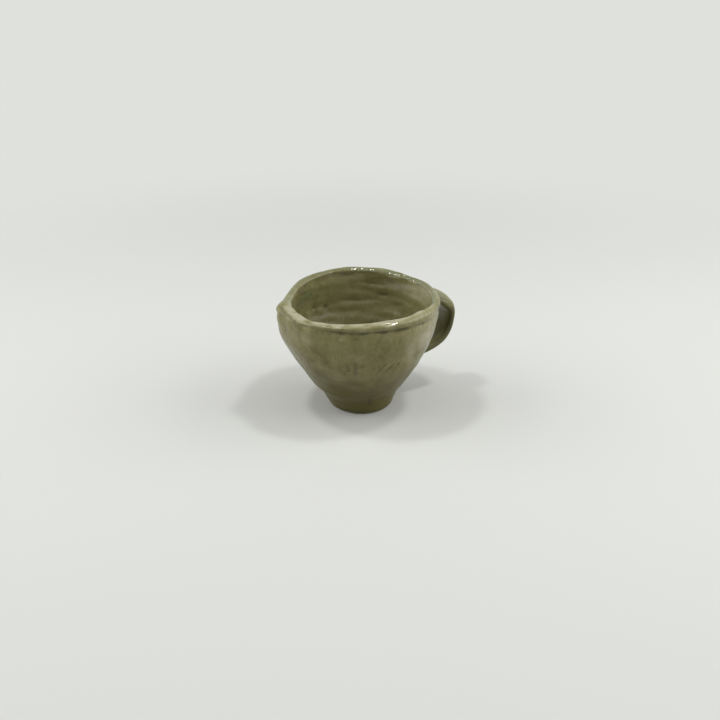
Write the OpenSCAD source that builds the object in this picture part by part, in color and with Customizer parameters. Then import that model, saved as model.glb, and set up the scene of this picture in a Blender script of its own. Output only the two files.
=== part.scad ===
// Hand-built espresso cup, piece by piece as the clay is joined: a foot disc, a pinched wall,
// a rolled rim coil, and a strap handle with a worked clay joint at each end.
// Millimetres. +Z is up, the origin is the centre of the foot's underside, the handle is at +X.

/* [Cup] */
// Height of the rim at its highest point
cup_h = 51; // [46:1:60]
// Outer diameter of the wall below the rim
mouth_d = 69; // [60:1:80]
// Outer diameter where the wall stands on the foot
waist_d = 33; // [28:1:40]
// Fullness of the belly: 1 is a straight cone, more is rounder
belly = 2; // [1:0.1:3]
// Height over which the wall eases out of the foot
waist_ease = 1.5; // [0.5:0.1:4]

/* [Foot] */
// Diameter of the foot just above its rounded edge
foot_d = 30; // [24:1:36]
// Thickness of the foot disc
foot_h = 6.5; // [5:0.5:10]
// Rounding of the foot's lower edge
foot_edge = 2; // [0.5:0.5:4]

/* [Wall] */
// Thickness of the wall
wall_t = 4.4; // [3.4:0.1:6]
// Radius of the inside corner above the foot
floor_fillet = 5; // [2:0.5:8]

/* [Unevenness] */
// Direction of the lean, in degrees from the handle
lean_a = 152; // [0:1:359]
// Sideways lean of the wall over the foot
lean = 1; // [0:0.1:3]
// How far the mouth is out of round
oval = 0.4; // [0:0.1:2]
// Number of flats that pinching fingers leave round the wall
pinch_count = 9; // [5:1:14]
// Depth of those flats
pinch = 0.22; // [0:0.02:0.6]
// Height of the shoulder on the leaning side
shoulder_z = 33.5; // [26:0.5:38]
// Bulge of the shoulder
shoulder = 0.9; // [0:0.1:2]
// Direction of the mouth's folded corner, in degrees from the handle
corner_a = 167; // [60:1:300]
// How far the corner sticks out
corner = 2.7; // [0:0.1:4]
// Direction of the flat pressed into the mouth, in degrees from the handle
press_a = 142; // [60:1:300]
// Depth of the pressed flat
press = 4; // [0:0.1:5]
// Direction of the thick stretch beside the corner, in degrees from the handle
fold_a = 185; // [60:1:300]
// How much thicker the wall is there, towards the inside
fold = 1.9; // [0:0.1:3]

/* [Rim] */
// Height of the rolled coil where it is thin
coil_h = 2.4; // [1.8:0.1:4]
// Direction of the coil's tallest place, in degrees from the handle
swell_a = 300; // [0:1:359]
// How much taller the coil is there
swell = 1.3; // [0:0.1:2.5]
// How far the coil stands proud of the wall
coil_over = 0.35; // [0:0.05:1.5]
// Depth of the crease under the coil
crease = 0.5; // [0:0.05:1.2]
// Height of the stretch that the crease draws in
crease_h = 1.5; // [0.8:0.1:3]
// Direction towards which the rim tilts up, in degrees from the handle
tilt_a = 4; // [0:1:359]
// How much lower the tilt makes the rim on the opposite side
tilt = 1.4; // [0:0.1:3]
// Direction of one of the rim's two high places, in degrees from the handle; the other is opposite
high_a = 79; // [0:1:359]
// How much the rim dips between them
dip = 1.4; // [0:0.1:4]

/* [Handle] */
// Width of the strap
strap_w = 12; // [8:0.5:16]
// Thickness of the strap
strap_t = 3.8; // [2.5:0.1:5]
// Depth of the strap's top face below the rim, at the upper joint
root_drop = 3.9; // [1.4:0.1:5]
// Height between the two joints
handle_h = 25.2; // [20:0.2:30]
// How far the middle of the strap stands out from the mouth
bow_out = 9.4; // [6:0.1:16]
// Depth of the bow's outermost point below the upper joint
bow_drop = 9.2; // [7.5:0.1:13]
// Run of the strap before it turns, at the upper joint
run_upper = 5; // [3:0.1:8]
// Run of the strap above the bow
run_above = 5.2; // [3:0.1:7]
// Run of the strap below the bow
run_below = 9; // [5:0.1:12]
// Run of the strap before it turns, at the lower joint
run_lower = 10; // [6:0.1:14]
// Fall of the strap along its upper run
fall_upper = 0.3; // [0:0.1:2]
// Fall of the strap along its lower run
fall_lower = 1.1; // [0:0.1:3]
// Reach of each clay joint along the strap
joint_len = 3.5; // [2:0.1:5]
// Spread of each clay joint over the wall
joint_flare = 1.3; // [0.6:0.1:2.6]
// Gap left for the slip between a clay joint and the wall
slip = 0.1; // [0.05:0.05:0.3]

/* [Smoothness] */
// Steps round the cup
around = 72; // [48:12:84]
// Rows up the outside of the wall
outer_rows = 24; // [16:1:28]
// Rows down the inside of the wall
inner_rows = 16; // [10:1:20]
// Steps in each rounded quarter
arc_steps = 5; // [3:1:8]
// Points round the strap's section
section_n = 28; // [16:4:40]
// Rings along the strap
strap_rings = 34; // [20:2:48]
// Rings across the seated face of a clay joint
seat_rings = 5; // [3:1:8]

/* [Hidden] */

// Widths, in degrees, of the stretches round the cup that its corner, flat, fold, shoulder and swell
// take up, and of the one beside the handle
corner_spread = 8;
press_spread = 35;
fold_spread = 18;
shoulder_spread = 60;
swell_spread = 50;
handle_spread = 24;
// Height of the stretch that the shoulder's bulge takes up
shoulder_h = 5;
// How soon, going up the wall, the lean is complete, and how late the mouth's own shape begins
lean_soon = 3;
mouth_late = 4;
// Shares of the coil's height below its widest place, of its inside face that is upright,
// and of its width that lies inside its crown
coil_low = 0.45;
coil_upright = 0.3;
coil_crown = 0.37;
// Squareness of the strap's section: 1 is an ellipse, less is squarer
strap_round = 0.72;
// How strongly the inside rows crowd together at the rounded corner
row_crowd = 1.5;

glaze = "#74704f";
thin_glaze = "#5c5834";

// Small helpers

function turn(a) = let (d = abs(a) % 360) min(d, 360 - d);
function bell(x, width) = exp(-pow(x / width, 2));
function plateau(x, width) = exp(-pow(x / width, 4));
function quarter(share) = sqrt(max(0, 1 - share * share));
function unit(v) = v / norm(v);
function signed_pow(v, e) = sign(v) * pow(abs(v), e);
function polar(r, a, z) = [r * cos(a), r * sin(a), z];
function arc(steps) = [for (i = [1:steps]) 90 * i / steps];

// Rim: its height round the cup, and the seam between the wall and the coil

function swing(a) = (1 - cos(a)) / 2;
function rim_drop(a) = tilt * swing(a - tilt_a) + dip * swing(2 * (a - high_a));
rim_drops = [for (i = [0:around - 1]) rim_drop(360 * i / around)];
rim_low = cup_h + min(rim_drops) - max(rim_drops);
function rim_z(a) = cup_h + min(rim_drops) - rim_drop(a);
function seam_z(a) = rim_z(a) - coil_h - swell * bell(turn(a - swell_a), swell_spread);

// Wall: radius at angle a and height z, without the crease under the coil

function eased(h) = h - waist_ease * (1 - exp(-h / waist_ease));
function rise(z) = max(0, min(1, eased(z - foot_h) / eased(rim_low - foot_h)));
function fullness(z) = 1 - pow(1 - rise(z), belly);
function lean_out(a, z) = lean * cos(a - lean_a) * (1 - pow(1 - rise(z), lean_soon));
function unevenness(a) = oval * cos(2 * (a - lean_a)) + pinch * cos(pinch_count * a);
function shoulder_out(a, z) =
    shoulder * bell(turn(a - lean_a), shoulder_spread) * bell(z - shoulder_z, shoulder_h);
function near_mouth(z) = pow(rise(z), mouth_late);
function corner_out(a, z) = corner * bell(turn(a - corner_a), corner_spread) * near_mouth(z);
function press_in(a, z) = press * bell(turn(a - press_a), press_spread) * near_mouth(z);
function fold_in(a, z) = fold * bell(turn(a - fold_a), fold_spread) * near_mouth(z);
function body_r(a, z) =
    waist_d / 2 + ((mouth_d - waist_d) / 2 + unevenness(a)) * fullness(z)
    + lean_out(a, z) + shoulder_out(a, z) + corner_out(a, z) - press_in(a, z);

// The crease and the coil's overhang are smoothed away beside the handle
function away_from_handle(a) = 1 - plateau(turn(a), handle_spread);
function wall_r(a, z) =
    body_r(a, z) - crease * away_from_handle(a) * bell(seam_z(a) - z, crease_h);

// Inside of the wall, with the rounded corner above the foot
function thickness(a, z) = wall_t + corner_out(a, z) + fold_in(a, z);
function corner_fill(z) = floor_fillet * (1 - quarter(1 - min(1, (z - foot_h) / floor_fillet)));
function inner_r(a, z) = body_r(a, z) - thickness(a, z) - corner_fill(z);

// Coil: landmarks of its section, and the radius of its outside at height z

function coil_foot_r(a) = wall_r(a, seam_z(a));
function coil_in_r(a) = inner_r(a, seam_z(a));
function coil_out_r(a) = body_r(a, seam_z(a)) + coil_over * away_from_handle(a);
function crown_r(a) = coil_in_r(a) + coil_crown * (coil_out_r(a) - coil_in_r(a));
function coil_wide_z(a) = seam_z(a) + coil_low * (rim_z(a) - seam_z(a));
function coil_r(a, z) =
    let (wide = coil_wide_z(a), out = coil_out_r(a))
    z < wide
        ? coil_foot_r(a) + (out - coil_foot_r(a)) * quarter((wide - z) / (wide - seam_z(a)))
        : crown_r(a) + (out - crown_r(a)) * quarter(min(1, (z - wide) / (rim_z(a) - wide)));

function outer_r(a, z) = z < seam_z(a) ? wall_r(a, z) : coil_r(a, z);

// Place on the cup's outside that lies straight inwards, along -X, from a point y, z of the handle
function seat(y, z) =
    let (first = asin(y / outer_r(0, z)), a = asin(y / outer_r(first, z)))
    [outer_r(a, z) * cos(a) + slip, y, z];

// Handle: middle line of the strap in the plane y = 0, as two curves that meet at the bow

upper_z = rim_z(0) - root_drop - strap_t / 2;
lower_z = upper_z - handle_h;
upper_root = [outer_r(0, upper_z), upper_z];
lower_root = [outer_r(0, lower_z), lower_z];
bow = [mouth_d / 2 + bow_out, upper_z - bow_drop];
upper_curve = [upper_root, upper_root + [run_upper, -fall_upper], bow + [0, run_above], bow];
lower_curve = [bow, bow - [0, run_below], lower_root + [run_lower, fall_lower], lower_root];

function bezier(p, t) =
    pow(1 - t, 3) * p[0] + 3 * t * pow(1 - t, 2) * p[1] + 3 * t * t * (1 - t) * p[2] + pow(t, 3) * p[3];
function bezier_dir(p, t) =
    unit(pow(1 - t, 2) * (p[1] - p[0]) + 2 * t * (1 - t) * (p[2] - p[1]) + t * t * (p[3] - p[2]));
function path(t) = t <= 1 ? bezier(upper_curve, t) : bezier(lower_curve, t - 1);
function path_dir(t) = t <= 1 ? bezier_dir(upper_curve, t) : bezier_dir(lower_curve, t - 1);

// Where the strap proper begins and ends, a joint's reach from each root
upper_t = joint_len / (3 * norm(upper_curve[1] - upper_curve[0]));
lower_t = 2 - joint_len / (3 * norm(lower_curve[3] - lower_curve[2]));

function section(w, t) =
    [for (i = [0:section_n - 1])
        let (p = -360 * i / section_n)
        [w / 2 * signed_pow(cos(p), strap_round), t / 2 * signed_pow(sin(p), strap_round)]];
function strap_ring(t) =
    let (c = path(t), d = path_dir(t))
    [for (s = section(strap_w, strap_t)) [c[0] - d[1] * s[1], s[0], c[1] + d[0] * s[1]]];

// Rings of a clay joint: a hollow curve from the strap's end out over the wall, then the seated face.
// up is 1 where the strap's outer face looks up, and -1 where it looks down.
function joint_rings(t, root_z, up) =
    let (
        start = strap_ring(t),
        straight = section(strap_w, strap_t),
        spread = section(strap_w + 2 * joint_flare, strap_t + 2 * joint_flare)
    )
    concat(
        [for (k = [0:arc_steps])
            let (f = k / arc_steps)
            [for (i = [0:section_n - 1])
                let (
                    bend = seat(straight[i][0], root_z + up * straight[i][1]),
                    edge = seat(spread[i][0], root_z + up * spread[i][1])
                )
                pow(1 - f, 2) * start[i] + 2 * f * (1 - f) * bend + f * f * edge]],
        [for (k = [1:seat_rings - 1])
            let (share = 1 - k / seat_rings)
            [for (s = spread) seat(s[0] * share, root_z + up * s[1] * share)]]
    );

// Skin over a row of like rings, in triangles: shut on itself, or closed by a fan at each end
module loft(rings, shut = false, other_diagonal = false) {
    m = len(rings);
    n = len(rings[0]);
    skin = [for (j = [0:shut ? m - 1 : m - 2], i = [0:n - 1])
        let (
            k = (j + 1) % m,
            h = (i + 1) % n,
            a = j * n + i,
            b = j * n + h,
            c = k * n + h,
            d = k * n + i
        )
        each other_diagonal ? [[a, b, d], [b, c, d]] : [[a, b, c], [a, c, d]]];
    fans = [for (i = [0:n - 1])
        let (h = (i + 1) % n, last = (m - 1) * n)
        each [[m * n, h, i], [m * n + 1, last + i, last + h]]];
    middles = [for (ring = [rings[0], rings[m - 1]]) [for (p = ring) 1 / n] * ring];
    polyhedron(
        points = concat([for (ring = rings) each ring], shut ? [] : middles),
        faces = concat(skin, shut ? [] : fans)
    );
}

// The pieces

module foot_disc() {
    edge = [for (p = concat([0], arc(arc_steps)))
        [foot_d / 2 - foot_edge * (1 - sin(p)), foot_edge * (1 - cos(p))]];
    color(thin_glaze)
        rotate_extrude($fn = around)
            polygon(concat([[0, 0]], edge, [[waist_d / 2, foot_h], [0, foot_h]]));
}

// Rows crowd together at the waist and the crease outside, and at the rounded corner inside
function outer_row_z(a, k) = foot_h + (seam_z(a) - foot_h) * (1 - cos(180 * k / outer_rows)) / 2;
function inner_row_z(a, k) = foot_h + (seam_z(a) - foot_h) * pow(1 - k / inner_rows, row_crowd);
function wall_section(a) = concat(
    [for (k = [0:outer_rows]) let (z = outer_row_z(a, k)) [wall_r(a, z), z]],
    [for (k = [0:inner_rows]) let (z = inner_row_z(a, k)) [inner_r(a, z), z]]
);

module wall() {
    color(glaze)
        loft([for (i = [0:around - 1])
            let (a = 360 * i / around)
            [for (s = wall_section(a)) polar(s[0], a, s[1])]], shut = true);
}

// Under the roll, over it to the crown, and down the inside to the wall
function coil_section(a) =
    let (
        foot_r = coil_foot_r(a),
        out = coil_out_r(a),
        crown = crown_r(a),
        inside = coil_in_r(a),
        low = seam_z(a),
        wide = coil_wide_z(a),
        top = rim_z(a),
        upright = low + coil_upright * (top - low)
    )
    concat(
        [[foot_r, low]],
        [for (p = arc(arc_steps)) [foot_r + (out - foot_r) * sin(p), wide - (wide - low) * cos(p)]],
        [for (p = arc(arc_steps)) [crown + (out - crown) * cos(p), wide + (top - wide) * sin(p)]],
        [for (p = arc(arc_steps)) [crown - (crown - inside) * sin(p), upright + (top - upright) * cos(p)]],
        [[inside, low]]
    );

module rim_coil() {
    color(glaze)
        loft([for (i = [0:around - 1])
            let (a = 360 * i / around)
            [for (s = coil_section(a)) polar(s[0], a, s[1])]], shut = true, other_diagonal = true);
}

module handle_strap() {
    color(glaze)
        loft([for (k = [0:strap_rings]) strap_ring(upper_t + (lower_t - upper_t) * k / strap_rings)]);
}

module upper_joint() {
    rings = joint_rings(upper_t, upper_z, 1);
    color(glaze) loft([for (k = [1:len(rings)]) rings[len(rings) - k]]);
}

module lower_joint() {
    color(glaze) loft(joint_rings(lower_t, lower_z, -1));
}

foot_disc();
wall();
rim_coil();
handle_strap();
upper_joint();
lower_joint();
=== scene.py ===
# Looks of a hand-built espresso cup: one clay form with the marks of the hand, in a satin olive glaze
import math

import bmesh
import bpy
import numpy as np
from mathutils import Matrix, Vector
from mathutils.bvhtree import BVHTree


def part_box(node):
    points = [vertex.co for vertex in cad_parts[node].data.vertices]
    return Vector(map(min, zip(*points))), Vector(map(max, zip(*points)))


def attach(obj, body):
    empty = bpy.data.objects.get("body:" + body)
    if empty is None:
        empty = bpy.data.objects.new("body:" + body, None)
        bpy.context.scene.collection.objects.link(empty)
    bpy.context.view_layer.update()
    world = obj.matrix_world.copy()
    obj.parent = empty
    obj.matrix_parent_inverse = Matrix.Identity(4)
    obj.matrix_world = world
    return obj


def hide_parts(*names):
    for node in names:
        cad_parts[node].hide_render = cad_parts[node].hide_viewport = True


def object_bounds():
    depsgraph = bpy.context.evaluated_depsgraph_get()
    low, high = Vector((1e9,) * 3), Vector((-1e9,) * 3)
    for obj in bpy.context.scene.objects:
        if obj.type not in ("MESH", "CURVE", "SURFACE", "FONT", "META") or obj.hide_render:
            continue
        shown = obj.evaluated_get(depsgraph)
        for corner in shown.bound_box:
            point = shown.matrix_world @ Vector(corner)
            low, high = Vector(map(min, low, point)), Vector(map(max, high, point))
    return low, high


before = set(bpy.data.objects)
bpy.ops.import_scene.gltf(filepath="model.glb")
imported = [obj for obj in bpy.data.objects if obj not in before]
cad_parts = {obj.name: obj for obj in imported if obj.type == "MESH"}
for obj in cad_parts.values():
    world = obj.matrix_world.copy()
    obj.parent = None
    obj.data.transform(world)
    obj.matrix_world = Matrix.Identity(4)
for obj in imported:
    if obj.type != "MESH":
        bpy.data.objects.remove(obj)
cad_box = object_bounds()

# Shapes are worked out in millimetres and in degrees from the handle; Blender's meshes are in metres
MM = 0.001
VESSEL = ["foot_disc", "wall", "rim_coil"]
HANDLE = ["handle_strap", "upper_joint", "lower_joint"]
# Grain of the fused clay, welding distance, and the angle from which an edge counts as real
VOXEL = 0.42
WELD = 0.002
SHARP = 38
# Smoothing: how far a point goes towards its neighbours in one round
PULL = 0.5
# Rounds of smoothing of the fused clay, and the swell that keeps it from shrinking
FUSED_ROUNDS = 6
FUSED_SWELL = 0.52
# Rounds of smoothing that turn a crease into a soft hollow
SOFT_ROUNDS = 80
# Rounds that give the form without its bulges, and rounds that even the bulges out
BULGE_ROUNDS = 24
EVEN_ROUNDS = 4
# Places round the rim at which its height is read
RIM_STEPS = 72
# Room inwards of and beside the upper joint in which points may belong to the handle
HANDLE_ROOM = 10
HANDLE_ROOM_SIDE = 2
# Radius of the hollow's floor, how far it strays from the foot's top, and the foot disc's part of it
HOLLOW_R = 12
HOLLOW_BAND = 2.5
FLOOR_R = 7
# How far a joint stands off the vessel where the handle begins
JOINT_EDGE = 0.5
# The handle's bends from the side (x, z and width), how far they are filled or moved, and its fill all over
UPPER_BEND = (38.5, 40.5, 4.5)
UPPER_FILL = 1.1
LOWER_BEND = (40, 23, 9)
LOWER_SHIFT = (0.75, 0, -0.85)
HANDLE_FILL = 0.25
# How far the softening reaches from the seam under the lip and from the foot's top
SEAM_REACH = 2.2
FOOT_REACH = 3.2
# A distance from the axis that lies outside the cup
CLEAR_R = 80
# Gap that the finished form keeps from the frame's box, and the height below which it stands flat
BOX_GAP = 0.01
FLAT_BELOW = 0.06
# Depth that the hidden faces between two pieces are drawn in
RECESS = 0.4
# An open end is on the cup's side from this far off the axis, and at the lip from this far above the foot
SIDE_END = 10
LIP_END = 10


# Small helpers

def bell(x, width):
    """1 where x is 0, falling smoothly to about a third at the width."""
    return np.exp(-np.square(x / width))


def ramp(x, low, high):
    """0 up to low and 1 from high, with a smooth rise between."""
    t = np.clip((x - low) / (high - low), 0, 1)
    return t * t * (3 - 2 * t)


def turn(a, b):
    """Smallest turn from b to a, with its sign."""
    return (a - b + 180) % 360 - 180


def window(a, middle, half, fade):
    """1 up to half a width from the middle angle, falling to 0 over the fade."""
    return 1 - ramp(np.abs(turn(a, middle)), half, half + fade)


def coords(mesh):
    co = np.empty(len(mesh.vertices) * 3)
    mesh.vertices.foreach_get("co", co)
    return co.reshape(-1, 3) / MM


def set_coords(mesh, co):
    mesh.vertices.foreach_set("co", (co * MM).ravel())
    mesh.update()


def normals(mesh):
    out = np.empty(len(mesh.vertices) * 3)
    mesh.vertex_normals.foreach_get("vector", out)
    return out.reshape(-1, 3)


def waves(where, length, count, seed):
    """Smooth noise of about unit size: a sum of plane waves of roughly one length."""
    rng = np.random.default_rng(seed)
    way = rng.normal(size=(count, 3))
    way /= np.linalg.norm(way, axis=1, keepdims=True)
    way *= 2 * math.pi / (length * rng.uniform(0.7, 1.5, (count, 1)))
    phase = rng.uniform(0, 2 * math.pi, count)
    total = np.zeros(len(where))
    for k, p in zip(way, phase):
        total += np.cos(where @ k + p)
    return total * math.sqrt(2 / count)


def scatter(seed, count, *ranges):
    """Random rows, with one value from each range."""
    rng = np.random.default_rng(seed)
    return zip(*[rng.uniform(low, high, count) for low, high in ranges])


# Fused clay form: the frame's solids, rounded off and grown together

def shaped(mesh, kind, **settings):
    """The mesh after one modifier."""
    obj = bpy.data.objects.new("shaping", mesh)
    bpy.context.scene.collection.objects.link(obj)
    modifier = obj.modifiers.new(kind, kind)
    for name, value in settings.items():
        setattr(modifier, name, value)
    graph = bpy.context.evaluated_depsgraph_get()
    made = bpy.data.meshes.new_from_object(obj.evaluated_get(graph))
    bpy.data.objects.remove(obj)
    return made


def rounded_copy(node):
    """A finer copy of a node, with its flat steps rounded off and its real edges kept."""
    bm = bmesh.new()
    bm.from_mesh(node.data)
    bmesh.ops.remove_doubles(bm, verts=bm.verts, dist=WELD * MM)
    sharp = math.radians(SHARP)
    bmesh.ops.join_triangles(bm, faces=bm.faces, angle_face_threshold=sharp, angle_shape_threshold=math.pi)
    crease = bm.edges.layers.float.new("crease_edge")
    for edge in bm.edges:
        if len(edge.link_faces) != 2 or edge.calc_face_angle() > sharp:
            edge[crease] = 1
    mesh = bpy.data.meshes.new("rounded")
    bm.to_mesh(mesh)
    bm.free()
    return shaped(mesh, "SUBSURF", levels=2)


def fused(names):
    """One closed mesh of even grain round all the named nodes."""
    bm = bmesh.new()
    for name in names:
        bm.from_mesh(rounded_copy(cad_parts[name]))
    mesh = bpy.data.meshes.new("fused")
    bm.to_mesh(mesh)
    bm.free()
    return shaped(mesh, "REMESH", mode="VOXEL", voxel_size=VOXEL * MM)


clay = fused(VESSEL + HANDLE)
edge_ends = np.empty(len(clay.edges) * 2, dtype=np.int32)
clay.edges.foreach_get("vertices", edge_ends)
edge_a, edge_b = edge_ends.reshape(-1, 2).T
valence = np.bincount(edge_ends)


def neighbour_mean(field):
    total = np.empty_like(field)
    for k in range(field.shape[1]):
        total[:, k] = np.bincount(edge_a, field[edge_b, k], len(field))
        total[:, k] += np.bincount(edge_b, field[edge_a, k], len(field))
    return total / valence[:, None]


def relaxed(field, rounds, swell=0.0):
    """The field smoothed over its neighbours; a swell of about a half keeps a form from shrinking."""
    for _ in range(rounds):
        field = field + PULL * (neighbour_mean(field) - field)
        if swell:
            field = field - swell * (neighbour_mean(field) - field)
    return field


set_coords(clay, relaxed(coords(clay), FUSED_ROUNDS, FUSED_SWELL))
points = coords(clay)
facing = normals(clay)


# Landmarks: where each point of the clay lies on the cup

def rim_heights():
    """Lowest and highest place of the rim coil, round the cup."""
    coil = coords(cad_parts["rim_coil"].data)
    step = 360 / RIM_STEPS
    place = np.round(np.degrees(np.arctan2(coil[:, 1], coil[:, 0])) / step).astype(int) % RIM_STEPS
    rows = [coil[place == k, 2] for k in range(RIM_STEPS)]
    return np.arange(RIM_STEPS) * step, [r.min() for r in rows], [r.max() for r in rows]


rim_angles, rim_seam, rim_crown = rim_heights()


def seam_z(a):
    return np.interp(a, rim_angles, rim_seam, period=360)


def crown_z(a):
    return np.interp(a, rim_angles, rim_crown, period=360)


def tree_of(meshes):
    """A search tree of some meshes, for nearest places and rays."""
    bm = bmesh.new()
    for mesh in meshes:
        bm.from_mesh(mesh)
    tree = BVHTree.FromBMesh(bm)
    bm.free()
    return tree


def stand_off(where):
    """Distance of each point from the vessel, reckoned only round the handle."""
    vessel = tree_of([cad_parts[n].data for n in VESSEL])
    (low_x, low_y, _), (_, high_y, _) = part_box("upper_joint")
    near = where[:, 0] > low_x / MM - HANDLE_ROOM
    near &= where[:, 1] > low_y / MM - HANDLE_ROOM_SIDE
    near &= where[:, 1] < high_y / MM + HANDLE_ROOM_SIDE
    out = np.zeros(len(where))
    for i in np.flatnonzero(near):
        out[i] = vessel.find_nearest(where[i] * MM)[3] / MM
    return out


# All of these are read once, on the form before it is softened and marked
foot_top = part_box("foot_disc")[1][2] / MM
angle = np.degrees(np.arctan2(points[:, 1], points[:, 0]))
radius = np.hypot(points[:, 0], points[:, 1])
height = points[:, 2]
outwards = (facing[:, 0] * points[:, 0] + facing[:, 1] * points[:, 1]) / np.maximum(radius, 0.1)
off_vessel = stand_off(points)
on_handle = ramp(off_vessel, 0.4, 1.6)
on_floor = (radius < HOLLOW_R) & (np.abs(height - foot_top) < HOLLOW_BAND)
faces_axis = np.where(on_floor, 1, ramp(-outwards, -0.15, 0.25))
inside = faces_axis * (1 - on_handle) * (height > foot_top - HOLLOW_BAND)
outside = (1 - inside) * (1 - on_handle)
on_lip = ramp(height - seam_z(angle), -0.4, 0.6) * (1 - on_handle)
below_crown = crown_z(angle) - height
down_hollow = 1 - ramp(height, 14, 44)


# Softening: the crease comes and goes, the lip runs into the hollow, and the handle is rounded like a roll

def on_bend(x, z, width):
    """A soft round spot of the handle, seen from its side."""
    return on_handle * bell(np.hypot(points[:, 0] - x, height - z), width)


def filled_out():
    """The clay with a fuller handle, and the rim's shoulder shaved beside it and at the back."""
    shoulder = ramp(0.25 - outwards, 0, 0.5) * (1 - ramp(below_crown, 3, 7)) * (1 - on_handle)
    shave = shoulder * (0.9 * window(angle, middle=-8, half=35, fade=30)
                        + 0.7 * window(angle, middle=105, half=25, fade=25))
    under_bend = on_bend(*UPPER_BEND) * ramp(-facing[:, 2], 0, 0.5)
    swell = UPPER_FILL * under_bend + HANDLE_FILL * on_handle - shave
    return points + facing * swell[:, None] + on_bend(*LOWER_BEND)[:, None] * LOWER_SHIFT


def softened():
    """The filled out clay with its crease, its neck, the top of its hollow and its handle smoothed."""
    full = filled_out()
    soft = relaxed(full, SOFT_ROUNDS)
    front = window(angle, middle=-102, half=40, fade=14)
    corner = window(angle, middle=167, half=7, fade=8)
    near_seam = outside * bell(height - seam_z(angle), SEAM_REACH)
    near_seam = near_seam * (1 - 0.62 * front) * (1 - 0.7 * corner)
    near_foot = outside * bell(height - foot_top, FOOT_REACH)
    hollow_top = inside * ramp(height, 36, 41) * ramp(below_crown, 0.8, 2)
    to_hollow = hollow_top * np.maximum(window(angle, middle=-8, half=40, fade=30), 0.6)
    share = np.maximum.reduce([near_seam, near_foot, to_hollow, 0.2 * on_handle])
    return full + share[:, None] * (soft - full)


points = softened()
set_coords(clay, points)
facing = normals(clay)
clay_tree = tree_of([clay])


def level_way(a):
    return Vector((math.cos(math.radians(a)), math.sin(math.radians(a)), 0))


def outside_at(a, z):
    """Point of the outside at an angle and a height."""
    start = level_way(a) * CLEAR_R * MM + Vector((0, 0, z * MM))
    return np.array(clay_tree.ray_cast(start, -level_way(a))[0]) / MM


def inside_at(a, z):
    """Point of the hollow at an angle and a height."""
    return np.array(clay_tree.ray_cast(Vector((0, 0, z * MM)), level_way(a))[0]) / MM


def on_clay(a, r, z):
    """Point of the clay nearest to a place given by angle, radius and height."""
    spin = math.radians(a)
    place = Vector((r * math.cos(spin), r * math.sin(spin), z)) * MM
    return np.array(clay_tree.find_nearest(place)[0]) / MM


# Marks of the hand, as a lift along the surface and a share of darker colour: pooled glaze, and painted
# shade in the crease under the lip

lift = np.zeros(len(points))
held_glaze_and_shade = np.zeros(len(points))


def along(path):
    """Nearest place of a path to each point, and the share of the path's length up to it."""
    lengths = [np.linalg.norm(q - p) for p, q in zip(path, path[1:])]
    nearest = np.full(points.shape, np.inf)
    gap = np.full(len(points), np.inf)
    share = np.zeros(len(points))
    done = 0
    for p, q, length in zip(path, path[1:], lengths):
        way = (q - p) / length
        run = np.clip((points - p) @ way, 0, length)
        place = p + run[:, None] * way
        apart = np.linalg.norm(points - place, axis=1)
        closer = apart < gap
        gap[closer] = apart[closer]
        nearest[closer] = place[closer]
        share[closer] = (done + run[closer]) / sum(lengths)
        done += length
    return nearest, share


def stroke(path, width, taper=0.3):
    """1 along a path of places on the clay, falling to 0 beside it and at its ends."""
    nearest, share = along(path)
    gap = np.linalg.norm(points - nearest, axis=1)
    return bell(gap, width) * ramp(share, 0, taper) * ramp(1 - share, 0, taper)


def dent(place, width):
    """1 at a place on the clay, falling to 0 all round it."""
    return bell(np.linalg.norm(points - place, axis=1), width)


def blotch(a, z, wide, tall):
    """1 at an angle and height, falling to 0 over a width in degrees and a height."""
    return bell(turn(angle, a), wide) * bell(height - z, tall)


def blotches(*rows):
    """Sum of blotches, each given by its angle, height, width, tallness and strength."""
    return sum(strength * blotch(a, z, wide, tall) for a, z, wide, tall, strength in rows)


def carve(shape, depth, pool_and_shade=0.0):
    """Sinks the clay by a depth, or raises it where the depth is negative."""
    lift[:] -= depth * shape
    held_glaze_and_shade[:] += pool_and_shade * shape


def aim(azimuth, slope):
    """Direction at an azimuth, leaning up by a slope."""
    spin, rise = math.radians(azimuth), math.radians(slope)
    return np.array((math.cos(rise) * math.cos(spin), math.cos(rise) * math.sin(spin), math.sin(rise)))


def flatten(path, way, depth, spread=1.5):
    """Presses a flat strip along a path, square to a direction, which fades out over the spread."""
    gap = points + facing * lift[:, None] - along(path)[0]
    over = gap @ way
    reach = np.linalg.norm(gap - over[:, None] * way, axis=1)
    steep = facing @ way
    near = (reach < 2 * spread) & (np.abs(over) < 1) & (steep > 0.5)
    lift[near] -= np.maximum(over[near] + depth, 0) / steep[near] * bell(reach[near] ** 2, spread ** 2)


def facet(a, way, half, depth, spread):
    """Presses a short level flat into the lip at an angle, where it already faces most nearly that way."""
    fit = np.where((np.abs(turn(angle, a)) < 1) & (on_lip > 0.5), facing @ way, -1)
    best = np.argmax(fit)
    place = points[best] + facing[best] * lift[best]
    level = np.cross(way, (0, 0, 1)) / np.linalg.norm(np.cross(way, (0, 0, 1)))
    flatten([place - half * level, place + half * level], way, depth, spread)


def glossy_patches():
    """Where the glaze is glossier than satin, and below 0 where it is duller."""
    front_lip = on_lip * blotches((-139, 48.8, 6, 1.8, 0.3), (-95, 49.6, 8, 1.8, 0.6),
                                  (-76, 50, 7, 1.5, 0.6))
    inner_edge = np.maximum(on_lip, inside) * (1 - ramp(outwards, -0.2, 0.4))
    back_lip = inner_edge * blotches((57, 49.5, 16, 2, 1), (20, 49.5, 17, 2, 1))
    hollow = inside * blotches((118, 45.5, 14, 2.5, 1), (26, 42, 18, 6, -0.3))
    dull = 0.5 * on_handle + 0.5 * outside * (1 - ramp(height, 8, 32))
    return front_lip + back_lip + hollow - dull


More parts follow.
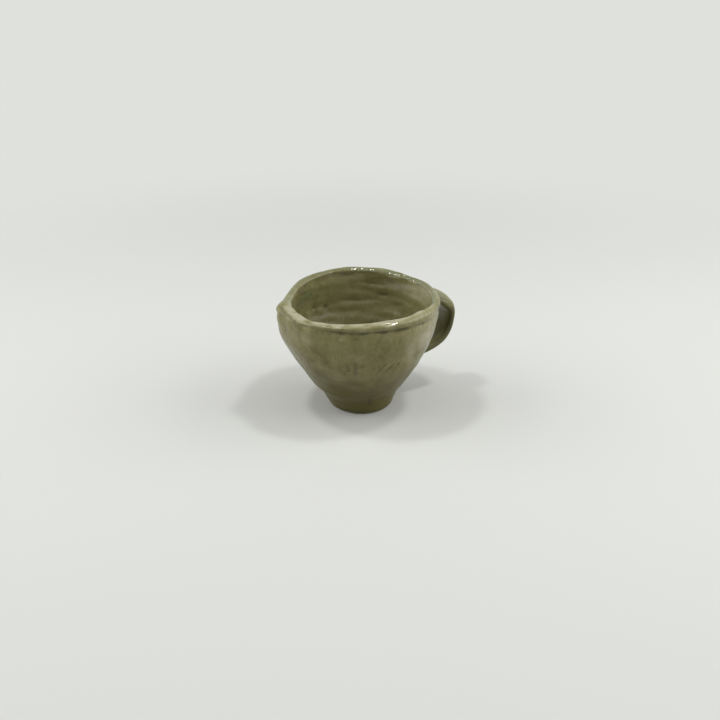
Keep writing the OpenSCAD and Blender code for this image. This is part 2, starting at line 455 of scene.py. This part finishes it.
def press_marks():
    """Unevenness from pinching, drags along wall, hollow and handle, and ripples in glossy glaze."""
    carve(waves(points, length=17, count=24, seed=1), depth=0.12)
    carve(waves(points, length=6.5, count=32, seed=2), depth=0.035)
    patchy = ramp(waves(points, length=12, count=16, seed=4), -0.6, 1.2)
    upright = waves(points * (1, 1, 0.2), length=2.6, count=40, seed=5)
    carve(outside * patchy * upright, depth=0.02, pool_and_shade=0.05)
    level = waves(points * (0.16, 0.16, 1), length=4.4, count=40, seed=6)
    carve(inside * level, depth=0.09, pool_and_shade=0.08)
    carve(on_lip * waves(points, length=9, count=32, seed=7), depth=0.05)
    lengthwise = waves(points * (0.25, 1, 0.25), length=2.2, count=40, seed=8)
    carve(on_handle * lengthwise, depth=0.02)
    carve(np.maximum(glossy, 0) * waves(points, length=1.8, count=48, seed=3), depth=0.03)


def crease_marks():
    """The broken crease under the lip and the dents along it, sunk and darkened: painted shade in the
    crease, with pooled glaze.
    """
    crease = [(-149, 47.6), (-137, 47.3), (-121, 47.4), (-110, 47.2), (-103, 46.9), (-97, 46.6),
              (-90, 46.5), (-83, 46.6), (-77, 46.6), (-65, 46.2), (-52, 46.5)]
    broken = ramp(waves(points, length=9, count=24, seed=9), -1.6, 1)
    line = stroke([outside_at(*place) for place in crease], width=1.0, taper=0.12)
    # The crease's darker colour is painted shade under the lip, partly pooled glaze
    carve(line * (0.4 + 0.6 * broken), depth=0.28, pool_and_shade=0.55)
    dents = [(-101, 46.2, 1.5), (-92, 45.9, 1.3), (-131, 46.4, 1.6), (-118, 46.2, 1.5), (-114, 46.9, 1.5)]
    for a, z, width in dents:
        carve(dent(outside_at(a, z), width), depth=0.1, pool_and_shade=0.3)


def corner_marks():
    """The lip's folded corner, with the ridge between its folds, the bulge below it and pinholes."""
    fold = [(162, 33.8, 48.7), (168, 34, 48.5), (173, 34.1, 48.3), (180, 34.3, 48), (-176, 34.6, 47.9),
            (-171, 34.6, 48.1), (-168, 34.3, 48.4), (-166, 33.7, 48.7), (-163, 33, 48.9)]
    carve(stroke([on_clay(*place) for place in fold], width=1.5, taper=0.25), depth=0.8, pool_and_shade=0.45)
    upper_fold = [(-162, 33.3, 48.9), (-154, 34.1, 48.9), (-148, 34.8, 48.4), (-143, 34.7, 47.9)]
    carve(stroke([on_clay(*place) for place in upper_fold], width=0.9), depth=0.35, pool_and_shade=0.5)
    lower_fold = [(-162, 35.3, 47), (-156, 35.3, 47.5), (-152, 35.1, 47.6), (-147, 34.8, 47.2)]
    carve(stroke([on_clay(*place) for place in lower_fold], width=0.8), depth=0.3, pool_and_shade=0.4)
    # The ridge is raised and painted paler: a painted highlight
    ridge = [(-164, 35, 48.1), (-157, 35, 48.2), (-151, 35, 48.1), (-146, 34.9, 47.7)]
    carve(stroke([on_clay(*place) for place in ridge], width=0.8), depth=-0.3, pool_and_shade=-0.2)
    carve(outside * blotch(168, 44, wide=11, tall=3), depth=-0.5)
    for pinhole in ((170, 31.4, 48.5), (-178, 31.2, 48.4), (-172, 30.9, 48.4)):
        carve(dent(on_clay(*pinhole), width=0.45), depth=0.22, pool_and_shade=0.4)


def lip_flats():
    """Flats that catch the light: two on the front of the lip, and a row among dents on its back."""
    left = [(-142, 34.4, 48.9), (-137, 34.3, 48.9)]
    flatten([on_clay(*place) for place in left], aim(azimuth=-138, slope=55), depth=0.09)
    right = [(-100, 33.9, 49.4), (-95.5, 33.8, 49.5), (-90, 33.7, 49.6)]
    flatten([on_clay(*place) for place in right], aim(azimuth=-98, slope=55), depth=0.05)
    for a, r, z in scatter(16, 26, (12, 68), (30.1, 31), (48.8, 49.7)):
        carve(dent(on_clay(a, r, z), width=0.6), depth=0.07)
    for a in (65, 60, 55, 50, 36, 31, 27, 22, 17, 12):
        # Near 36 degrees the lip itself faces the flat's way, so a smaller flat does
        alike = bell(a - 36, 12)
        way = aim(azimuth=-144 + 0.09 * a, slope=50.4)
        facet(a, way, half=0.5 - 0.2 * alike, depth=0.09 - 0.03 * alike, spread=1.2 - 0.4 * alike)


def wall_marks():
    """Tool strokes, scratches, drips and pits outside, and the neck filled out above the foot."""
    # Angles and heights along each drag, then its width, depth and pooled glaze
    drags = [
        ([(-128.2, 33.6), (-126, 27.6)], 1.1, 0.12, 0.5),
        ([(-121, 35.4), (-121.9, 25)], 1.2, 0.16, 0.65),
        ([(-107, 26), (-100.5, 29.5), (-94, 32.5)], 0.6, 0.14, 0.7),
        ([(-101, 25), (-96, 27.5), (-88, 32)], 0.6, 0.12, 0.65),
        ([(-105.5, 11), (-102.6, 4)], 1.3, 0.14, 0.9),
        ([(-133, 45.5), (-134, 42.5)], 0.8, 0.1, 0.4),
        ([(-104, 45.6), (-105, 43)], 0.8, 0.1, 0.45),
        ([(-152, 43), (-150, 39.5)], 0.9, 0.08, 0.3),
    ]
    for path, width, depth, pool_and_shade in drags:
        carve(stroke([outside_at(*place) for place in path], width), depth, pool_and_shade)
    pale_scratch = [outside_at(-142, 36.2), outside_at(-139.8, 33.6)]
    carve(stroke(pale_scratch, width=0.4), depth=-0.12, pool_and_shade=-0.4)
    neck = outside * bell(height - 11, 3.5)
    carve(neck * (0.2 + 0.6 * window(angle, middle=160, half=45, fade=45)), depth=-1.0)
    for a, z, width in scatter(15, 90, (-180, 180), (12, 46), (0.35, 0.8)):
        carve(dent(outside_at(a, z), width), depth=0.16 * width, pool_and_shade=0.5)


def hollow_marks():
    """Finger ridges, thumb dents and the crusted patch inside; three raised specks in the patch are painted
    pale: painted glints.
    """
    ridges = [
        [(68, 45), (55, 44.3), (44, 44), (29, 43.9)],
        [(53, 39.9), (42, 39.5), (30, 40)],
        [(92, 37.3), (80, 36.7), (65, 36.2), (43, 37)],
        [(36, 35.6), (22, 36.8), (12, 38)],
        [(150, 35), (128, 33), (112, 32.4)],
        [(-30, 39), (-55, 38.2), (-80, 39.4)],
        [(-100, 34), (-130, 33), (-160, 34.5)],
        [(200, 41), (175, 42.5), (158, 42)],
    ]
    for path in ridges:
        carve(stroke([inside_at(*place) for place in path], width=1.1, taper=0.45), depth=0.2, pool_and_shade=0.4)
    carve(dent(inside_at(94.9, 34.3), width=2.1), depth=0.3, pool_and_shade=0.5)
    carve(dent(inside_at(107.5, 35.7), width=0.9), depth=0.1, pool_and_shade=0.2)
    for a, z, width in scatter(11, 22, (104, 138), (41.5, 48), (0.3, 0.7)):
        carve(dent(inside_at(a, z), width), depth=-0.4 * width)
    # Painted glints: three raised specks made paler
    for a, z in ((111.7, 47), (123, 45.1), (118, 45.4)):
        carve(dent(inside_at(a, z), width=0.7), depth=-0.25, pool_and_shade=-0.8)


def marked():
    """The clay with its marks, drawn in at the foot's edge, inside the frame's box and flat below."""
    made = points + facing * (lift * ramp(height, 0.3, 3))[:, None]
    drawn_in = (1 - ramp(height, 0, 6)) * (0.02 + 0.05 * window(angle, middle=165, half=45, fade=45))
    made[:, :2] *= 1 - drawn_in[:, None]
    made = np.clip(made, np.array(cad_box[0]) / MM + BOX_GAP, np.array(cad_box[1]) / MM - BOX_GAP)
    made[height < FLAT_BELOW, 2] = 0
    return made


glossy = glossy_patches()
press_marks()
crease_marks()
corner_marks()
lip_flats()
wall_marks()
hollow_marks()
points = marked()
set_coords(clay, points)
facing = normals(clay)


# Glaze: thin and pale on edges, pooled and dark in hollows, brown where it broke; painted light on the
# lip's top, the wall's right and the hollow's right side, and painted shade in the crease, on the handle
# and towards the foot

bulge = ((points - relaxed(points, BULGE_ROUNDS)) * facing).sum(axis=1)
bulge = relaxed(bulge[:, None], EVEN_ROUNDS)[:, 0]
drift = waves(points, length=7, count=24, seed=12)
forward = window(angle, middle=-125, half=45, fade=55)
flap = on_lip * window(angle, middle=168, half=12, fade=12) * ramp(radius, 32.8, 34.2)


def lip_crest():
    """The top of the lip, apart from its inner side at the back left and the flap at its corner."""
    top = on_lip * (1 - ramp(below_crown, 0.3, 2.6)) * (1 - 0.85 * ramp(outwards, 0.1, 0.7))
    back_left = window(angle, middle=115, half=32, fade=20) * ramp(-outwards, 0.0, 0.5)
    return top * (1 - 0.85 * back_left) * (1 - 0.8 * flap)


crest = lip_crest()


def thin_glaze():
    # The lip's top is partly thinner glaze and partly painted light: paler where it faces up, and brighter
    # at the front
    on_crest = crest * (0.05 + 0.6 * forward + 0.25 * bell(turn(angle, -140), 18)) * (1 + 0.45 * drift)
    on_bulges = 0.3 * (1 - 0.8 * on_handle) * ramp(bulge, 0.06, 0.3)
    # A painted sheen on the wall's right towards -66 degrees, and a paler patch on its left towards -160
    # degrees
    on_wall = outside * blotches((-66, 38, 22, 9, 0.75), (-160, 41, 13, 4.5, 0.4)) * (1 + 0.25 * drift)
    # Painted light on the hollow's right side towards -10 degrees, which faces the left lamp, and paler
    # patches elsewhere in the hollow
    in_hollow = inside * blotches((-10, 48, 26, 7, 0.75), (155, 45, 22, 6, 0.3), (64, 46, 8, 3, 0.4),
                                  (118, 39.5, 16, 4, 0.4))
    return on_crest + on_bulges + on_wall + in_hollow


def pooled_glaze_and_painted_shade():
    # Darker colour: pooled glaze in creases and in the hollow, darker towards the hollow's bottom; painted
    # shade on the lower handle's near and outer sides and in its bend, a darker band at the foot's edge
    # that is partly pooled glaze and partly a painted contact shadow, and painted shade on the lip's corner
    # flap
    in_creases = 0.7 * ramp(-bulge, 0.02, 0.2) * (1 - 0.7 * on_handle)
    low_handle = on_handle * (1 - ramp(height, 36, 43)) * ramp(height, 16, 21)
    near_side = ramp(-facing[:, 1], 0.1, 0.6) * (1 - 0.8 * ramp(facing[:, 0], 0.0, 0.5))
    on_strap = low_handle * (0.7 * near_side + 0.2 * ramp(facing[:, 0], 0.2, 0.8))
    in_bend = 0.45 * on_handle * dent((41, -4.7, 29.6), width=5)
    in_hollow = inside * (0.15 * down_hollow + blotches((26, 43, 16, 4, 0.6), (112, 44, 11, 3, 0.25)))
    at_foot = 0.6 * outside * (1 - ramp(height + 0.5 * drift, 0.3, 2.6))
    return held_glaze_and_shade + in_creases + on_strap + in_bend + in_hollow + at_foot + 0.12 * flap


def low_painted_shade():
    # Painted shade: darker towards the foot outside and towards the bottom of the hollow
    return outside * (1 - ramp(height + 2.5 * drift, 6, 36)) + 0.15 * inside * down_hollow


def brown_glaze():
    on_wall = outside * blotches((-167, 27, 12, 8, 0.9), (-80, 18, 12, 5, 0.4))
    in_hollow = inside * blotches((122, 47.2, 11, 2.2, 1.4), (82, 48.5, 18, 1.6, 1.1),
                                  (40, 47, 14, 2, 0.8))
    return (on_wall + in_hollow) * (0.7 + 0.5 * waves(points, length=3.2, count=32, seed=13))


def green_glaze():
    in_hollow = inside * blotches((110, 44, 9, 3, 1), (120, 42, 9, 2.5, 0.8))
    on_wall = outside * blotches((-150, 45, 8, 2.5, 0.7))
    on_rim = 0.5 * flap + (1 - forward) * crest
    patchy = 0.85 + 0.2 * waves(points, length=4.5, count=32, seed=14)
    return (in_hollow + on_wall + on_rim + 0.85 * on_handle) * patchy


GLAZE_AND_LIGHT = {
    "thin": thin_glaze(),
    "pooled_and_shade": pooled_glaze_and_painted_shade(),
    "low_shade": low_painted_shade(),
    "brown": brown_glaze(),
    "green": green_glaze(),
    "glossy": glossy,
    "inside": inside,
}


# Pieces: the clay form parted along the joins of the frame's nodes, each piece closed by hidden faces

faces = np.empty(len(clay.polygons) * 4, dtype=np.int32)
clay.polygons.foreach_get("vertices", faces)
faces = faces.reshape(-1, 4)


def face_mean(values):
    return values[faces].mean(axis=1)


def part_faces():
    """Name of the piece that each face belongs to."""
    part = np.full(len(faces), "bowl", dtype="U6")
    part[face_mean(height - seam_z(angle)) > 0] = "lip"
    floor = face_mean(on_floor.astype(float)) > 0.5
    part[(face_mean(height) < foot_top) & ~floor] = "foot"
    part[floor & (face_mean(radius) < FLOOR_R)] = "foot"
    part[face_mean(off_vessel) > JOINT_EDGE] = "handle"
    return part


def open_loops(quads):
    """Loops of vertices along the open edges of some faces."""
    starts = quads.ravel()
    ends = np.roll(quads, -1, axis=1).ravel()
    known = set(zip(starts.tolist(), ends.tolist()))
    onward = {b: a for a, b in known if (b, a) not in known}
    loops = []
    while onward:
        first, here = onward.popitem()
        loop = [first]
        while here != first:
            loop.append(here)
            here = onward.pop(here)
        loops.append(loop)
    return loops


def stitch(bm, first, second):
    """Fills the band between two rings of vertices that run the same way round."""
    nearest = min(range(len(second)), key=lambda k: (second[k].co - first[0].co).length)
    second = second[nearest:] + second[:nearest]
    i = k = 0
    while i < len(first) or k < len(second):
        a, b = first[i % len(first)], second[k % len(second)]
        next_a, next_b = first[(i + 1) % len(first)], second[(k + 1) % len(second)]
        if k == len(second) or (i < len(first) and (next_a.co - b.co).length < (next_b.co - a.co).length):
            bm.faces.new((a, next_a, b))
            i += 1
        else:
            bm.faces.new((a, next_b, b))
            k += 1


def close_side(bm, verts, loop, inwards):
    """Fills an end on the cup's side with a flat cone that points into the piece."""
    hub = bm.verts.new((points[loop].mean(axis=0) + (inwards, 0, 0)) * MM)
    for i, k in zip(loop, loop[1:] + loop[:1]):
        bm.faces.new((verts[i], verts[k], hub))


def close_level(bm, verts, ends, shift):
    """Fills the ring between an inner and an outer end, a little inside both and shifted up or down."""
    rings = []
    for (r, loop), draw in zip(sorted(ends), (2 * RECESS, -2 * RECESS)):
        share = (r + draw) / r
        drawn = [bm.verts.new(Vector(points[i] * (share, share, 1) + (0, 0, shift)) * MM) for i in loop]
        for i in range(len(loop)):
            k = (i + 1) % len(loop)
            bm.faces.new((verts[loop[i]], verts[loop[k]], drawn[k], drawn[i]))
        rings.append(drawn)
    # The two open ends of a piece run opposite ways round
    stitch(bm, rings[0], rings[1][::-1])


def closed_mesh(name, quads, used):
    """The faces of one piece, with its open ends filled a little inside it."""
    bm = bmesh.new()
    verts = {i: bm.verts.new(points[i] * MM) for i in used}
    for quad in quads:
        bm.faces.new([verts[i] for i in quad])
    level_ends = {}
    for loop in open_loops(quads):
        x, y, z = points[loop].mean(axis=0)
        if np.hypot(x, y) > SIDE_END:
            close_side(bm, verts, loop, 2 * RECESS if name == "handle" else -2 * RECESS)
        else:
            r = np.hypot(*points[loop, :2].T).mean()
            level_ends.setdefault(z > foot_top + LIP_END, []).append((r, loop))
    # The bowl runs out thin on the hollow's floor, so its hidden faces and the foot's go below it
    shift = {"foot": -2 * RECESS, "bowl": -RECESS, "lip": RECESS}
    for ends in level_ends.values():
        close_level(bm, verts, ends, shift[name])
    bmesh.ops.recalc_face_normals(bm, faces=bm.faces)
    mesh = bpy.data.meshes.new(name)
    bm.to_mesh(mesh)
    bm.free()
    return mesh


def closed_piece(name, part):
    """One piece of the clay as an object, with the glaze's marks, painted light and shade among them, and
    the whole form's smooth shading.
    """
    quads = faces[part == name]
    used = np.unique(quads)
    mesh = closed_mesh(name, quads, used)
    hidden = len(mesh.vertices) - len(used)
    for key, values in GLAZE_AND_LIGHT.items():
        layer = mesh.attributes.new(key, "FLOAT", "POINT")
        padded = np.concatenate([values[used], np.zeros(hidden)])
        layer.data.foreach_set("value", padded.astype(np.float32))
    mesh.polygons.foreach_set("use_smooth", np.ones(len(mesh.polygons), dtype=bool))
    bend = np.concatenate([facing[used], np.tile((0.0, 0.0, 1.0), (hidden, 1))])
    mesh.normals_split_custom_set_from_vertices(bend.tolist())
    obj = bpy.data.objects.new(name, mesh)
    bpy.context.scene.collection.objects.link(obj)
    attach(obj, "root")
    return obj


part = part_faces()
foot = closed_piece("foot", part)
bowl = closed_piece("bowl", part)
lip = closed_piece("lip", part)
handle = closed_piece("handle", part)
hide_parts("foot_disc")
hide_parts("wall")
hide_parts("rim_coil")
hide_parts(*HANDLE)


# Material nodes

def add(tree, kind, settings=None, **inputs):
    """A node with its settings, and its inputs set or linked by name."""
    made = tree.nodes.new(kind)
    for name, value in (settings or {}).items():
        setattr(made, name, value)
    for name, value in inputs.items():
        socket = made.inputs[name.replace("_", " ")]
        if isinstance(value, bpy.types.NodeSocket):
            tree.links.new(value, socket)
        else:
            socket.default_value = value
    return made


def noise(tree, where, scale, detail=4, rough=0.55, stretch=(1, 1, 1)):
    """Noise with so many spots to the metre, drawn out where the stretch is under 1."""
    mapped = add(tree, "ShaderNodeMapping", Vector=where, Scale=stretch).outputs[0]
    made = add(tree, "ShaderNodeTexNoise", Vector=mapped, Scale=scale, Detail=detail, Roughness=rough)
    return made.outputs[0]


def sums(tree, *terms):
    """Sum of value and weight pairs."""
    total = 0.0
    for value, weight in terms:
        step = tree.nodes.new("ShaderNodeMath")
        step.operation = "MULTIPLY_ADD"
        tree.links.new(value, step.inputs[0])
        step.inputs[1].default_value = weight
        if isinstance(total, float):
            step.inputs[2].default_value = total
        else:
            tree.links.new(total, step.inputs[2])
        total = step.outputs[0]
    return total


def between(tree, value, low, high, to_low=0.0, to_high=1.0):
    """A smooth rise from one value to another as the input goes from low to high."""
    smooth = {"interpolation_type": "SMOOTHSTEP"}
    made = add(tree, "ShaderNodeMapRange", smooth, Value=value, From_Min=low, From_Max=high)
    made.inputs["To Min"].default_value = to_low
    made.inputs["To Max"].default_value = to_high
    return made.outputs[0]


def blend(tree, share, first, second, kind="RGBA"):
    """Mix of two colours or two values."""
    made = add(tree, "ShaderNodeMix", {"data_type": kind})
    # Places of the two inputs and of the output, which depend on the kind
    places = (6, 7, 2) if kind == "RGBA" else (2, 3, 0)
    tree.links.new(share, made.inputs[0])
    for place, value in zip(places, (first, second)):
        if isinstance(value, bpy.types.NodeSocket):
            tree.links.new(value, made.inputs[place])
        else:
            made.inputs[place].default_value = value
    return made.outputs[places[2]]


def maths(tree, operation, first, second):
    made = add(tree, "ShaderNodeMath", {"operation": operation})
    tree.links.new(first, made.inputs[0])
    tree.links.new(second, made.inputs[1])
    return made.outputs[0]


def object_place(tree):
    return add(tree, "ShaderNodeTexCoord").outputs["Object"]


def new_material(name):
    material = bpy.data.materials.new(name)
    material.use_nodes = True
    return material, material.node_tree, material.node_tree.nodes["Principled BSDF"]


# Materials: a satin olive glaze with painted light and shade in its colour, and bare clay under the foot

OLIVE_DARK = (0.135, 0.123, 0.034, 1)
OLIVE = (0.21, 0.194, 0.072, 1)
OLIVE_PALE = (0.287, 0.27, 0.128, 1)
OLIVE_INSIDE = (0.185, 0.182, 0.105, 1)
# Painted shade: the low colour, darker towards the foot
LOW_SHADE = (0.1, 0.086, 0.011, 1)
# Pooled glaze and painted shade
POOLED_AND_SHADE = (0.045, 0.04, 0.006, 1)
# Pale colour: thin glaze, and painted light on the lip's top, the wall's right and the hollow's right side
THIN_AND_LIT = (0.385, 0.365, 0.235, 1)
BROWN = (0.18, 0.138, 0.085, 1)
GREEN = (0.16, 0.17, 0.085, 1)
BARE_CLAY = (0.33, 0.26, 0.18, 1)
BARE_CLAY_DARK = (0.2, 0.15, 0.1, 1)
# Faces of the foot below this height are bare
BARE_BELOW = 0.5


def glaze_and_painted_light():
    material, tree, shader = new_material("olive_glaze_and_painted_light")
    where = object_place(tree)
    marks = {k: add(tree, "ShaderNodeAttribute", {"attribute_name": k}).outputs["Fac"] for k in GLAZE_AND_LIGHT}
    mottle = noise(tree, where, scale=85, detail=5)
    grain = noise(tree, where, scale=700, detail=3)
    upright = noise(tree, where, scale=330, detail=3, stretch=(1, 1, 0.16))
    level = noise(tree, where, scale=330, detail=3, stretch=(0.16, 0.16, 1))
    streak = blend(tree, marks["inside"], upright, level, "FLOAT")
    blots = noise(tree, where, scale=230, detail=6, rough=0.65)
    tone = sums(tree, (mottle, 0.33), (blots, 0.4), (streak, 0.13), (grain, 0.14))
    colour = blend(tree, between(tree, tone, 0.39, 0.5), OLIVE_DARK, OLIVE)
    colour = blend(tree, between(tree, tone, 0.5, 0.61), colour, OLIVE_PALE)
    colour = blend(tree, between(tree, marks["inside"], 0.0, 1.0, to_high=0.3), colour, OLIVE_INSIDE)
    # Painted shade towards the foot and towards the hollow's bottom
    low = sums(tree, (marks["low_shade"], 1.0), (streak, 0.3), (mottle, 0.3))
    colour = blend(tree, between(tree, low, 0.3, 1.2, to_high=0.92), colour, LOW_SHADE)
    broken = sums(tree, (marks["brown"], 1.0), (grain, 0.4))
    colour = blend(tree, between(tree, broken, 0.35, 1.3, to_high=0.75), colour, BROWN)
    # Thin glaze and painted light: the lip's top, a painted sheen on the wall's right and the hollow's lit
    # right side
    pale_share = sums(tree, (marks["thin"], 1.0), (streak, 0.3), (grain, 0.1))
    colour = blend(tree, between(tree, pale_share, 0.3, 1.2, to_high=0.95), colour, THIN_AND_LIT)
    mossy = sums(tree, (marks["green"], 1.0), (streak, 0.3))
    colour = blend(tree, between(tree, mossy, 0.3, 1.2, to_high=0.7), colour, GREEN)
    # Pooled glaze and painted shade: creases, the crease under the lip, the lower handle and the foot's
    # edge
    pool_and_shade = sums(tree, (marks["pooled_and_shade"], 0.75), (streak, 0.2), (blots, 0.2))
    colour = blend(tree, between(tree, pool_and_shade, 0.25, 1.0, to_high=0.85), colour, POOLED_AND_SHADE)
    specks = between(tree, noise(tree, where, scale=2100, detail=1), 0.68, 0.75)
    speckled = maths(tree, "MULTIPLY", specks, between(tree, mottle, 0.45, 0.65))
    tree.links.new(blend(tree, speckled, colour, POOLED_AND_SHADE), shader.inputs["Base Color"])
    dull = sums(tree, (mottle, 0.5), (grain, 0.15), (marks["brown"], 0.15), (marks["glossy"], -0.6))
    roughness = between(tree, dull, 0.0, 0.55, to_low=0.1, to_high=0.36)
    tree.links.new(roughness, shader.inputs["Roughness"])
    shader.inputs["Specular IOR Level"].default_value = 0.4
    ripples = noise(tree, where, scale=1000, detail=2)
    sparkle = maths(tree, "MULTIPLY", between(tree, marks["glossy"], 0.65, 1.0), ripples)
    fine = noise(tree, where, scale=2600, detail=2)
    bumps = sums(tree, (grain, 0.7), (fine, 0.2), (streak, 0.8), (sparkle, 14.0))
    bump = add(tree, "ShaderNodeBump", Height=bumps, Strength=0.2, Distance=0.1 * MM)
    tree.links.new(bump.outputs[0], shader.inputs["Normal"])
    return material


def bare_clay():
    material, tree, shader = new_material("bare_clay")
    where = object_place(tree)
    grain = noise(tree, where, scale=1500, detail=4, rough=0.7)
    patches = noise(tree, where, scale=140, detail=3)
    tone = sums(tree, (grain, 0.6), (patches, 0.4))
    colour = blend(tree, between(tree, tone, 0.35, 0.65), BARE_CLAY_DARK, BARE_CLAY)
    tree.links.new(colour, shader.inputs["Base Color"])
    shader.inputs["Roughness"].default_value = 0.9
    bump = add(tree, "ShaderNodeBump", Height=grain, Strength=0.5, Distance=0.15 * MM)
    tree.links.new(bump.outputs[0], shader.inputs["Normal"])
    return material


olive_glaze_and_painted_light = glaze_and_painted_light()
for piece in (foot, bowl, lip, handle):
    piece.data.materials.append(olive_glaze_and_painted_light)
foot.data.materials.append(bare_clay())
for face in foot.data.polygons:
    if face.center.z < BARE_BELOW * MM:
        face.material_index = 1


# Stage: a pale floor under soft light, seen from the photograph's side

CAMERA_AZIMUTH = -28
CAMERA_ELEVATION = 25.5
CAMERA_DISTANCE = 437.1
CAMERA_TARGET_Z = 19.5
LENS = 50
SENSOR = 36
CLIP_START = 10
FLOOR_HALF = 3000
FLOOR_SEEN = (0.68, 0.69, 0.66, 1)
# The floor turns into the backdrop between these distances from the cup
FLOOR_NEAR = 160
FLOOR_FAR = 420
FLOOR_BOUNCE = (0.4, 0.38, 0.34, 1)
SKY_SEEN = (0.74, 0.755, 0.72, 1)
SKY_HIGH = (0.33, 0.33, 0.33, 1)
SKY_LOW = (0.54, 0.54, 0.54, 1)
# Place, size and watts of each lamp, and the height that they all point at
LAMPS = {
    "high_left": ((-210, 112, 660), 80, 0.9),
    "high_right": ((210, -112, 660), 80, 0.9),
    "left": ((-494, 263, 330), 600, 2.0),
    "right": ((494, -263, 330), 600, 2.3),
}
LAMP_TARGET_Z = 25


def plain_rays(tree):
    """1 for rays that show the stage itself: straight, mirrored or through glass."""
    rays = add(tree, "ShaderNodeLightPath").outputs
    direct = maths(tree, "MAXIMUM", rays["Is Camera Ray"], rays["Is Glossy Ray"])
    return maths(tree, "MAXIMUM", direct, rays["Is Transmission Ray"])


def floor():
    half = FLOOR_HALF * MM
    corners = [(-half, -half, 0), (half, -half, 0), (half, half, 0), (-half, half, 0)]
    mesh = bpy.data.meshes.new("floor")
    mesh.from_pydata(corners, [], [(0, 1, 2, 3)])
    material, tree, shader = new_material("pale_floor")
    seen = plain_rays(tree)
    tree.links.new(blend(tree, seen, FLOOR_BOUNCE, FLOOR_SEEN), shader.inputs["Base Color"])
    shader.inputs["Roughness"].default_value = 0.9
    shader.inputs["Specular IOR Level"].default_value = 0.1
    span = add(tree, "ShaderNodeVectorMath", {"operation": "LENGTH"}, Vector=object_place(tree))
    far = between(tree, span.outputs["Value"], FLOOR_NEAR * MM, FLOOR_FAR * MM)
    mixed = add(tree, "ShaderNodeMixShader", Fac=maths(tree, "MULTIPLY", far, seen))
    tree.links.new(shader.outputs[0], mixed.inputs[1])
    tree.links.new(add(tree, "ShaderNodeEmission", Color=SKY_SEEN).outputs[0], mixed.inputs[2])
    tree.links.new(mixed.outputs[0], tree.nodes["Material Output"].inputs["Surface"])
    mesh.materials.append(material)
    obj = bpy.data.objects.new("floor", mesh)
    bpy.context.scene.collection.objects.link(obj)


def sky():
    world = bpy.data.worlds.new("soft_room")
    bpy.context.scene.world = world
    world.use_nodes = True
    tree = world.node_tree
    way = add(tree, "ShaderNodeTexCoord").outputs["Generated"]
    rise = add(tree, "ShaderNodeSeparateXYZ", Vector=way).outputs["Z"]
    light = blend(tree, between(tree, rise, 0.0, 0.9), SKY_LOW, SKY_HIGH)
    seen = blend(tree, plain_rays(tree), light, SKY_SEEN)
    tree.links.new(seen, tree.nodes["Background"].inputs["Color"])


def lamp(name, place, size, watts):
    light = bpy.data.lights.new(name, "AREA")
    light.energy = watts
    light.size = size * MM
    obj = bpy.data.objects.new(name, light)
    obj.location = Vector(place) * MM
    target = Vector((0, 0, LAMP_TARGET_Z * MM))
    obj.rotation_euler = (target - obj.location).to_track_quat("-Z", "Y").to_euler()
    bpy.context.scene.collection.objects.link(obj)


def camera():
    obj = bpy.data.objects.new("camera", bpy.data.cameras.new("camera"))
    bpy.context.scene.collection.objects.link(obj)
    side, rise = math.radians(CAMERA_AZIMUTH), math.radians(CAMERA_ELEVATION)
    back = Vector((math.sin(side) * math.cos(rise), -math.cos(side) * math.cos(rise), math.sin(rise)))
    obj.location = (Vector((0, 0, CAMERA_TARGET_Z)) + back * CAMERA_DISTANCE) * MM
    obj.rotation_euler = (-back).to_track_quat("-Z", "Y").to_euler()
    obj.data.lens = LENS
    obj.data.sensor_width = SENSOR
    obj.data.clip_start = CLIP_START * MM
    bpy.context.scene.camera = obj


floor()
sky()
for name, (place, size, watts) in LAMPS.items():
    lamp(name, place, size, watts)
camera()
bpy.context.scene.view_settings.view_transform = "Standard"
